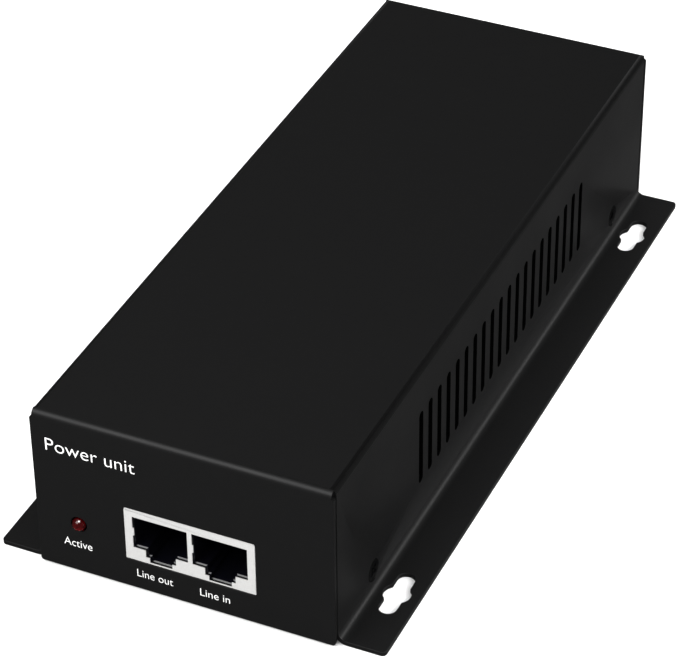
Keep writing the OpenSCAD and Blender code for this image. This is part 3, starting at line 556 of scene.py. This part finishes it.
MATERIALS = {
    "case_paint": powder_coat(),
    "black_screw": black_oxide(),
    "film": plain_plastic("insulating_film", (0.74, 0.70, 0.58), 0.35, scale=700.0, depth=20 * MICRON,
                          tone=0.05, Transmission_Weight=0.2),
    "stamped_shield": stamped_shield(),
    "jack_plastic": plain_plastic("jack_plastic", (0.0020, 0.0020, 0.0040), 0.22, scale=3000.0,
                                  depth=3 * MICRON, tone=0.1, spread=0.04, Specular_IOR_Level=0.8),
    "gold_contact": plated("gold_contact", (0.90, 0.64, 0.22), 0.22),
    "lamp_red": clear_red(),
    "tinned_lead": plated("tinned_lead", (0.72, 0.72, 0.70), 0.3),
    "inlet_plastic": plain_plastic("inlet_plastic", (0.012, 0.012, 0.013), 0.4, scale=1900.0,
                                   depth=14 * MICRON, tone=0.1),
    "plated_pin": plated("plated_pin", (0.74, 0.73, 0.70), 0.24, squeeze=(2600.0, 60.0, 2600.0)),
    "zinc_steel": plated("zinc_steel", (0.66, 0.67, 0.69), 0.32),
    "shrink_sleeve": sleeve_film("shrink_sleeve", (0.012, 0.012, 0.012)),
    "wire_brown": wire_skin("wire_brown", (0.12, 0.042, 0.016)),
    "wire_blue": wire_skin("wire_blue", (0.02, 0.09, 0.42)),
    "wire_green": wire_skin("wire_green", (0.06, 0.28, 0.03)),
    "tinned_brass": plated("tinned_brass", (0.72, 0.60, 0.34), 0.3),
    "circuit_board": circuit_board(),
    "cream_nylon": plain_plastic("cream_nylon", (0.80, 0.77, 0.67), 0.42, scale=1500.0, depth=12 * MICRON,
                                 tone=0.05, Subsurface_Weight=0.1),
    "fuse_glass": fuse_glass(),
    "blue_epoxy": dipped("blue_epoxy", (0.02, 0.12, 0.46)),
    "green_epoxy": dipped("green_epoxy", (0.02, 0.07, 0.045)),
    "yellow_case": plain_plastic("yellow_case", (0.75, 0.48, 0.03), 0.3, scale=1200.0, depth=10 * MICRON,
                                 tone=0.06, Coat_Weight=0.2),
    "moulded_black": plain_plastic("moulded_black", (0.013, 0.013, 0.014), 0.52, scale=3600.0,
                                   depth=14 * MICRON, tone=0.14),
    "ferrite": ferrite(),
    "enamelled_copper": enamelled_copper(),
    "capacitor_sleeve": sleeve_film("capacitor_sleeve", (0.018, 0.022, 0.055)),
    "heatsink_alloy": plated("extruded_alloy", (0.72, 0.73, 0.74), 0.36, squeeze=(2400.0, 40.0, 2400.0),
                             depth=10 * MICRON, tone=0.12),
    "polyester_tape": polyester_tape(),
    "white_package": plain_plastic("white_package", (0.80, 0.79, 0.76), 0.48, scale=3000.0,
                                   depth=10 * MICRON, tone=0.05),
    "powdered_iron": plain_plastic("powdered_iron", (0.23, 0.33, 0.04), 0.5, scale=1800.0,
                                   depth=30 * MICRON, tone=0.12),
    "ceramic_chip": plain_plastic("ceramic_chip", (0.40, 0.24, 0.11), 0.5, scale=4200.0,
                                  depth=10 * MICRON, tone=0.12),
    "printed_ink": printed_ink(),
}


def dress_nodes():
    """Gives every carried-over solid the material of its slot."""
    for node, slot in SLOT_OF.items():
        mesh = nodes[node].data
        mesh.materials.clear()
        mesh.materials.append(MATERIALS[slot])


def as_piece(name, mesh, slot, body="case"):
    """A new piece in the finish of this slot, riding on the body."""
    piece = bpy.data.objects.new(name, mesh)
    bpy.context.scene.collection.objects.link(piece)
    mesh.materials.clear()
    mesh.materials.append(MATERIALS[slot])
    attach(piece, body)
    return piece


def read_vectors(items, label):
    """One vector of every vertex or face, as rows of an array."""
    values = np.empty(len(items) * 3)
    items.foreach_get(label, values)
    return values.reshape(-1, 3)


# ---------- captions ----------

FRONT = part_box("cover")[0][1]
INK_HEIGHT = 0.04 * MM
CAPITAL_OF_FONT = 0.729
STROKE_THINNED = 0.010
# Each caption: piece, words, left end, baseline and height of a capital in mm, width against the font's own
CAPTIONS = [
    ("title_print", "Power unit", -30.15, 30.0, 3.3, 1.0),
    ("lamp_print", "Active", -27.2, 6.6, 2.1, 0.88),
    ("out_print", "Line out", -10.9, 3.6, 2.0, 0.9),
    ("in_print", "Line in", 3.2, 3.4, 2.0, 0.95),
]


def caption(name, text, left, baseline, capital, width):
    """Flat letters printed on the jack panel: a text outline made mesh, then stood up on the panel."""
    curve = bpy.data.curves.new(name, "FONT")
    curve.body = text
    curve.size = 1.0
    curve.offset = -STROKE_THINNED
    curve.resolution_u = 6
    curve.extrude = 0.02
    shape = bpy.data.objects.new(name, curve)
    bpy.context.scene.collection.objects.link(shape)
    bpy.context.view_layer.update()
    mesh = bpy.data.meshes.new_from_object(shape)
    bpy.data.objects.remove(shape)
    bpy.data.curves.remove(curve)
    scale = capital * MM / CAPITAL_OF_FONT
    flat = read_vectors(mesh.vertices, "co")
    placed = np.empty_like(flat)
    placed[:, 0] = left * MM + flat[:, 0] * scale * width
    placed[:, 1] = FRONT - INK_HEIGHT * (flat[:, 2] > 0)
    placed[:, 2] = baseline * MM + flat[:, 1] * scale
    mesh.vertices.foreach_set("co", placed.ravel())
    mesh.update()
    as_piece(name, mesh, "printed_ink")


# ---------- eased solids ----------

MERGE = 0.002 * MM
FLAT_TURN = 0.6
SHARP_TURN = 38.0
EASED_SEGMENTS = 2
SPARE_REACH = 2.6 * MM
FOLD_CORNERS = [np.array([i * 32.3, j * 87.3, 38.0]) * MM for i in (-1, 1) for j in (-1, 1)]


def merged_copy(name, node):
    """The loose triangles of a node merged, flat neighbours joined, and its sharp edges marked."""
    form = bmesh.new()
    form.from_mesh(nodes[node].data)
    bmesh.ops.remove_doubles(form, verts=form.verts, dist=MERGE)
    bmesh.ops.dissolve_limit(form, angle_limit=math.radians(FLAT_TURN), verts=form.verts, edges=form.edges)
    mesh = bpy.data.meshes.new(name)
    form.to_mesh(mesh)
    form.free()
    mesh.shade_smooth()
    mesh.set_sharp_from_angle(angle=math.radians(SHARP_TURN))
    return mesh


def weigh_edges(mesh, spare):
    """Marks the sharp edges for rounding, apart from those whose middle is near a spare point."""
    ends = np.empty(len(mesh.edges) * 2, np.int32)
    mesh.edges.foreach_get("vertices", ends)
    middle = read_vectors(mesh.vertices, "co")[ends.reshape(-1, 2)].mean(axis=1)
    chosen = np.zeros(len(mesh.edges), bool)
    mesh.attributes["sharp_edge"].data.foreach_get("value", chosen)
    for point in spare:
        chosen &= np.linalg.norm(middle - point, axis=1) > SPARE_REACH
    weight = mesh.attributes.new("bevel_weight_edge", "FLOAT", "EDGE")
    weight.data.foreach_set("value", chosen.astype(np.float32))


def eased(name, node, width, body="case", spare=()):
    """A solid with its sharp edges rounded off.

    Every edge of the node that turns by more than the sharp angle gets a round of this width in
    millimetres; folds and bores stay smooth, edges near the spare points stay sharp, and nothing passes
    the box of the node.
    """
    mesh = merged_copy(name, node)
    weigh_edges(mesh, spare)
    blank = bpy.data.objects.new(name, mesh)
    bpy.context.scene.collection.objects.link(blank)
    round_off = blank.modifiers.new("round_off", "BEVEL")
    round_off.width = width * MM
    round_off.segments = EASED_SEGMENTS
    round_off.limit_method = "WEIGHT"
    round_off.use_clamp_overlap = False
    round_off.harden_normals = True
    shaped = bpy.data.meshes.new_from_object(blank.evaluated_get(bpy.context.evaluated_depsgraph_get()))
    bpy.data.objects.remove(blank)
    low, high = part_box(node)
    kept = np.clip(read_vectors(shaped.vertices, "co"), low, high)
    shaped.vertices.foreach_set("co", kept.ravel())
    piece = as_piece(name, shaped, SLOT_OF[node], body)
    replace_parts(piece, node)
    return piece


# ---------- cover ----------

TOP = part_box("cover")[1][2]
WALL_INSIDE = 31.96 * MM
WALL_OUTSIDE = 33.0 * MM
VENT_REACH = 60.0 * MM
VENT_FOOT = 8.0 * MM
VENT_HEAD = 0.9 * TOP


def make_cover():
    """The folded sheet; faces inside the side walls' thickness, along the vents, take the painted shade of
    the slot walls.
    """
    cover = eased("cover_sheet", "cover", 0.09, spare=FOLD_CORNERS)
    faces = cover.data.polygons
    cover.data.materials.append(vent_wall_shade())
    x, y, z = np.abs(read_vectors(faces, "center")).T
    in_wall = (x > WALL_INSIDE) & (x < WALL_OUTSIDE) & (np.abs(read_vectors(faces, "normal"))[:, 0] < 0.5)
    in_vents = (y < VENT_REACH) & (z > VENT_FOOT) & (z < VENT_HEAD)
    # painted shade: the vent slot walls get the near-black material
    faces.foreach_set("material_index", (in_wall & in_vents).astype(np.int32))


# ---------- jack ----------

LIP = 0.22
OPENING_TOP = 18.58
# Steps of a jack's opening from the top down: half width and underside of each
OPENING_STEPS = [(5.98, 10.92), (3.25, 9.17), (2.38, 7.99)]
OPENING_MIDDLES = (-5.2, 8.0)


def make_jack_lips():
    """The sloping lip round the front of both plug openings.

    The stepped outline is walked once round. Each of its corners carries a right-angled triangle: one
    point on the edge of the opening, one moved out by the lip's width along both neighbouring edges'
    outward directions and forward by the same width, one moved out only.
    """
    half, under = np.array(OPENING_STEPS).T
    right_x = np.repeat(half, 2)
    right_z = np.concatenate([[OPENING_TOP], np.repeat(under, 2)[:-1]])
    outline = np.concatenate([np.stack([right_x, right_z], 1), np.stack([-right_x, right_z], 1)[::-1]])
    edge = np.roll(outline, -1, axis=0) - outline
    edge /= np.linalg.norm(edge, axis=1)[:, None]
    outward = np.stack([-edge[:, 1], edge[:, 0]], axis=1)
    moved = outline + LIP * (outward + np.roll(outward, 1, axis=0))
    count = len(outline)
    across = np.stack([outline[:, 0], moved[:, 0], moved[:, 0]], 1)
    upward = np.stack([outline[:, 1], moved[:, 1], moved[:, 1]], 1)
    front = JACK_FRONT / MM
    depth = np.broadcast_to([front, front - LIP, front], (count, 3))
    ring = np.stack([across, depth, upward], axis=-1).reshape(-1, 3)
    here = np.arange(count * 3).reshape(count, 3)
    beside = np.roll(here, -1, axis=0)
    quads = np.stack([here, beside, np.roll(beside, -1, 1), np.roll(here, -1, 1)], -1).reshape(-1, 4)
    points = np.concatenate([ring + (middle, 0.0, 0.0) for middle in OPENING_MIDDLES]) * MM
    mesh = bpy.data.meshes.new("jack_lips")
    mesh.from_pydata(points.tolist(), [], np.concatenate([quads, quads + len(ring)]).tolist())
    mesh.update()
    as_piece("jack_lips", mesh, SLOT_OF["jack_housing"])


# ---------- screws ----------

FACE_RINGS = 34
SCREW_SIDES = 80
STEPS_PER_TURN = 8
PITCH = 0.5
THREAD_DEPTH = 0.16
SHARP_SCREW = 40.0
CASE_SCREW = dict(head=2.5, cone=1.0, shank=1.45, length=3.2, arm=1.45, depth=0.8)
CASE_SCREW_FACE = 32.94 * MM
# Side of the case, end of the case, turn of the recess
CASE_SCREW_TURNS = [(-1, -1, 0.35), (-1, 1, 1.1), (1, -1, 0.8), (1, 1, 0.1)]
INLET_SCREW = dict(head=2.85, cone=1.5, shank=1.45, length=8.0, arm=1.5, depth=0.9)
INLET_SCREW_FACE = 90.95 * MM
# Side of the inlet, turn of the recess
INLET_SCREW_TURNS = [(-1, 0.5), (1, 1.3)]


def lathe(profile, sides):
    """A closed turned body: radius and height along the profile, swept once round the z axis.

    Point (i, j) is (r_i cos a_j, r_i sin a_j, z_i); the two ends of the profile lie on the axis. Gives the
    points, the four-sided faces and the triangles at the two poles.
    """
    radius, height = np.asarray(profile, float).T
    turn = np.arange(sides) * (2 * np.pi / sides)
    ring = np.stack([np.outer(radius, np.cos(turn)), np.outer(radius, np.sin(turn)),
                     np.repeat(height[:, None], sides, axis=1)], axis=-1)
    rows = len(radius) - 2
    points = np.concatenate([ring[0, :1], ring[1:-1].reshape(-1, 3), ring[-1, :1]])
    here = 1 + np.arange(rows * sides).reshape(rows, sides)
    beside = np.roll(here, -1, axis=1)
    quads = np.stack([here[:-1], here[1:], beside[1:], beside[:-1]], axis=-1).reshape(-1, 4)
    top = np.stack([np.zeros(sides, int), here[0], beside[0]], axis=-1)
    foot = np.stack([np.full(sides, len(points) - 1), beside[-1], here[-1]], axis=-1)
    return points, quads, np.concatenate([top, foot])


def smooth_step(value):
    """0 below 0, 1 above 1, and 3 v^2 - 2 v^3 between."""
    value = np.clip(value, 0.0, 1.0)
    return value * value * (3.0 - 2.0 * value)


def flat_screw(head, cone, shank, length, arm, depth):
    """A countersunk cross-head screw, its face at z = 0 and its point downwards, sized in millimetres.

    The head is a flat disc with an eased rim over a cone. The recess is lowered by depth times the larger
    of two soft-edged bars, and grows shallower towards the tips. The shank's radius drops by a triangle
    wave of height plus turn, which cuts the thread.
    """
    face = [(r, 0.0) for r in np.linspace(0.0, head - 0.12, FACE_RINGS)]
    rim = [(head - 0.05, -0.02), (head, -0.09), (head - 0.02, -0.16)]
    thread = [(shank, z) for z in np.arange(-cone, -length + 0.35, -PITCH / STEPS_PER_TURN)]
    point = [(shank * 0.6, -length + 0.02), (0.0, -length)]
    points, quads, triangles = lathe(face + rim + thread + point, SCREW_SIDES)
    x, y, z = points.T
    r = np.hypot(x, y)
    half = arm * 0.235
    bars = [smooth_step((half - np.abs(a)) / 0.09) * smooth_step((arm - np.abs(b)) / 0.22)
            for a, b in ((x, y), (y, x))]
    points[:, 2] -= np.where(z > -0.01, depth * np.maximum(*bars) * (1 - 0.5 * r / arm), 0.0)
    wave = np.abs(((z / PITCH + np.arctan2(y, x) / (2 * np.pi)) % 1.0) - 0.5) * 2.0
    threaded = (z < -cone - 0.1) & (z > -length + 0.3) & (r > shank - 0.01)
    shrink = np.where(threaded, 1.0 - THREAD_DEPTH * wave / shank, 1.0)
    points[:, :2] *= shrink[:, None]
    return points * MM, quads, triangles


def screw_place(centre, out, turn):
    """Origin and three axes of a screw whose face looks along out, its recess turned from level."""
    up = np.array([0.0, 0.0, 1.0])
    out = np.array(out, float)
    along = math.cos(turn) * np.abs(np.cross(out, up)) + math.sin(turn) * up
    return [centre, along, np.cross(out, along), out]


def make_screws(name, node, body, places):
    """One piece of several copies of a body, which takes the place of the node.

    Point p of copy i goes to origin_i + p . axes_i; the numbers in its faces rise by i times the points.
    """
    points, quads, triangles = body
    places = np.array(places, float)
    moved = places[:, :1] + points @ places[:, 1:]
    shift = np.arange(len(places))[:, None, None] * len(points)
    loops = (quads + shift).reshape(-1, 4).tolist() + (triangles + shift).reshape(-1, 3).tolist()
    mesh = bpy.data.meshes.new(name)
    mesh.from_pydata(moved.reshape(-1, 3).tolist(), [], loops)
    mesh.update()
    mesh.shade_smooth()
    mesh.set_sharp_from_angle(angle=math.radians(SHARP_SCREW))
    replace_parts(as_piece(name, mesh, SLOT_OF[node]), node)


def make_wall_screws():
    """Four black screws in the side walls."""
    low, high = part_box("case_screws")
    reach = (high[1] - low[1]) / 2 - CASE_SCREW["head"] * MM
    height = (high[2] + low[2]) / 2
    places = [screw_place((i * CASE_SCREW_FACE, j * reach, height), (i, 0, 0), turn)
              for i, j, turn in CASE_SCREW_TURNS]
    make_screws("wall_screws", "case_screws", flat_screw(**CASE_SCREW), places)


def make_socket_screws():
    """Two screws in the ears of the mains inlet."""
    low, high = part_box("inlet_screws")
    reach = (high[0] - low[0]) / 2 - INLET_SCREW["head"] * MM
    height = (high[2] + low[2]) / 2
    places = [screw_place((i * reach, INLET_SCREW_FACE, height), (0, 1, 0), turn)
              for i, turn in INLET_SCREW_TURNS]
    make_screws("socket_screws", "inlet_screws", flat_screw(**INLET_SCREW), places)


# ---------- the whole scene ----------

make_camera()
make_world()
make_floor()
make_lights()
dress_nodes()
for values in CAPTIONS:
    caption(*values)
make_cover()
eased("shield_face", "jack_shield", 0.06)
make_jack_lips()
eased("base_sheet", "bottom_plate", 0.10)
eased("socket_body", "inlet_body", 0.25)
eased("socket_blades", "inlet_blades", 0.12)
eased("lamp_stand", "led_holder", 0.10)
eased("out_springs", "out_contacts", 0.05, "out_contact_arms")
eased("in_springs", "in_contacts", 0.05, "in_contact_arms")
make_wall_screws()
make_socket_screws()
